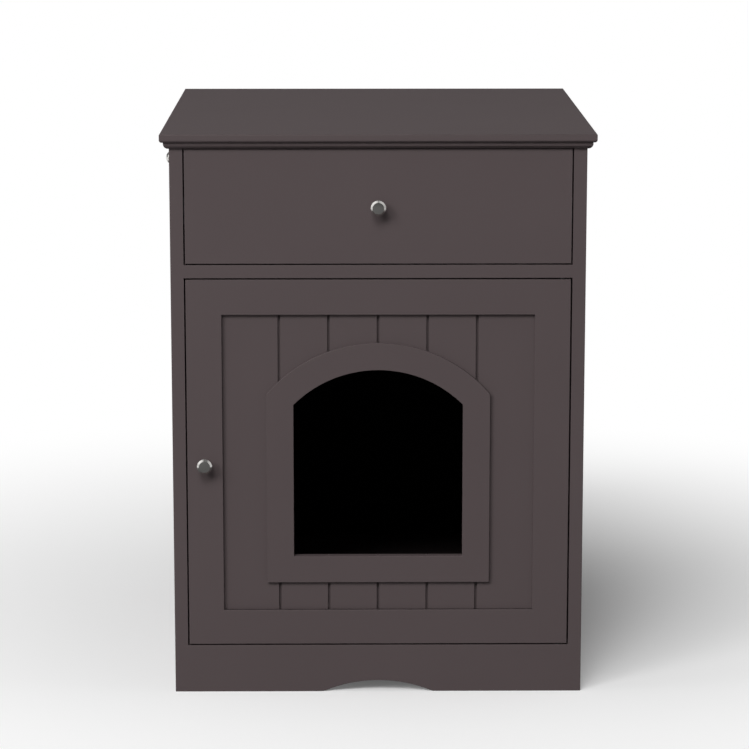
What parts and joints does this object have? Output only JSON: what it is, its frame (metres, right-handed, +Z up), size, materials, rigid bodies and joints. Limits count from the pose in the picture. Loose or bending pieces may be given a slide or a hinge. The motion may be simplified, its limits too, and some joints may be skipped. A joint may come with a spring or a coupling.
{
  "type": "litter box enclosure with drawer",
  "caption": "Cabinet that hides a litter pan: a drawer on ball-bearing slides over a cabin whose beadboard door has an open arched entry and swings on pivot pins.",
  "frame": {"origin": "on the floor, under the middle of the outline: half way across the body, and half way between the knobs' faces and the back edge", "axes": "+X to the right seen from the front, +Y from the front to the back, +Z up"},
  "size_m": [0.522, 0.586, 0.691],
  "materials": {
    "painted_board": "satin dark grey-brown paint on fibreboard",
    "hardboard": "plain brown hardboard",
    "birch": "raw fluted birch",
    "satin_nickel": "satin nickel plate",
    "ball_steel": "polished steel",
    "zinc_steel": "bright zinc plate",
    "black_nylon": "moulded black nylon",
    "ferrite": "sintered dark ferrite"
  },
  "bodies": {
    "cabinet": {"top_board": "painted_board", "left_side_panel": "painted_board", "right_side_panel": "painted_board", "divider_shelf": "painted_board", "base_apron": "painted_board", "bottom_panel": "painted_board", "back_panel": "hardboard", "back_panel_screws": "zinc_steel", "cabinet_cam_locks": "zinc_steel", "cabinet_cam_bolts": "zinc_steel", "cabinet_dowels": "birch", "left_slide_rail": "zinc_steel", "right_slide_rail": "zinc_steel", "slide_rail_screws": "zinc_steel", "catch_housing": "black_nylon", "catch_magnet": "ferrite", "catch_pole_plates": "zinc_steel", "catch_screws": "zinc_steel", "upper_hinge_bush": "black_nylon", "lower_hinge_bush": "black_nylon", "scoop_peg": "satin_nickel"},
    "drawer": {"drawer_front": "painted_board", "drawer_left_side": "painted_board", "drawer_right_side": "painted_board", "drawer_back": "painted_board", "drawer_bottom": "hardboard", "drawer_cam_locks": "zinc_steel", "drawer_cam_bolts": "zinc_steel", "drawer_back_screws": "zinc_steel", "left_drawer_runner": "zinc_steel", "right_drawer_runner": "zinc_steel", "drawer_runner_screws": "zinc_steel", "drawer_knob": "satin_nickel", "drawer_knob_screw": "zinc_steel"},
    "left_cage": {"left_ball_cage": "zinc_steel", "left_slide_balls": "ball_steel"},
    "right_cage": {"right_ball_cage": "zinc_steel", "right_slide_balls": "ball_steel"},
    "door": {"door_left_stile": "painted_board", "door_right_stile": "painted_board", "door_top_rail": "painted_board", "door_bottom_rail": "painted_board", "beadboard_panel": "painted_board", "entry_surround": "painted_board", "door_dowels": "birch", "upper_hinge_pin": "zinc_steel", "lower_hinge_pin": "zinc_steel", "door_knob": "satin_nickel", "door_knob_screw": "zinc_steel", "strike_plate": "zinc_steel", "strike_screws": "zinc_steel"}
  },
  "joints": [
    {"name": "drawer_slide", "type": "slide", "parent": "cabinet", "child": "drawer", "axis": [0, -1, 0], "range_m": [0, 0.33]},
    {"name": "left_cage_slide", "type": "slide", "parent": "cabinet", "child": "left_cage", "axis": [0, -1, 0], "range_m": [0, 0.165]},
    {"name": "right_cage_slide", "type": "slide", "parent": "cabinet", "child": "right_cage", "axis": [0, -1, 0], "range_m": [0, 0.165]},
    {"name": "door_hinge", "type": "hinge", "parent": "cabinet", "child": "door", "pos_m": [0.2222, -0.269, 0.288], "axis": [0, 0, 1], "range_deg": [0, 110]}
  ],
  "couplings": [
    {"joint": "left_cage_slide", "follows": "drawer_slide", "ratio": 0.5},
    {"joint": "right_cage_slide", "follows": "drawer_slide", "ratio": 0.5}
  ]
}
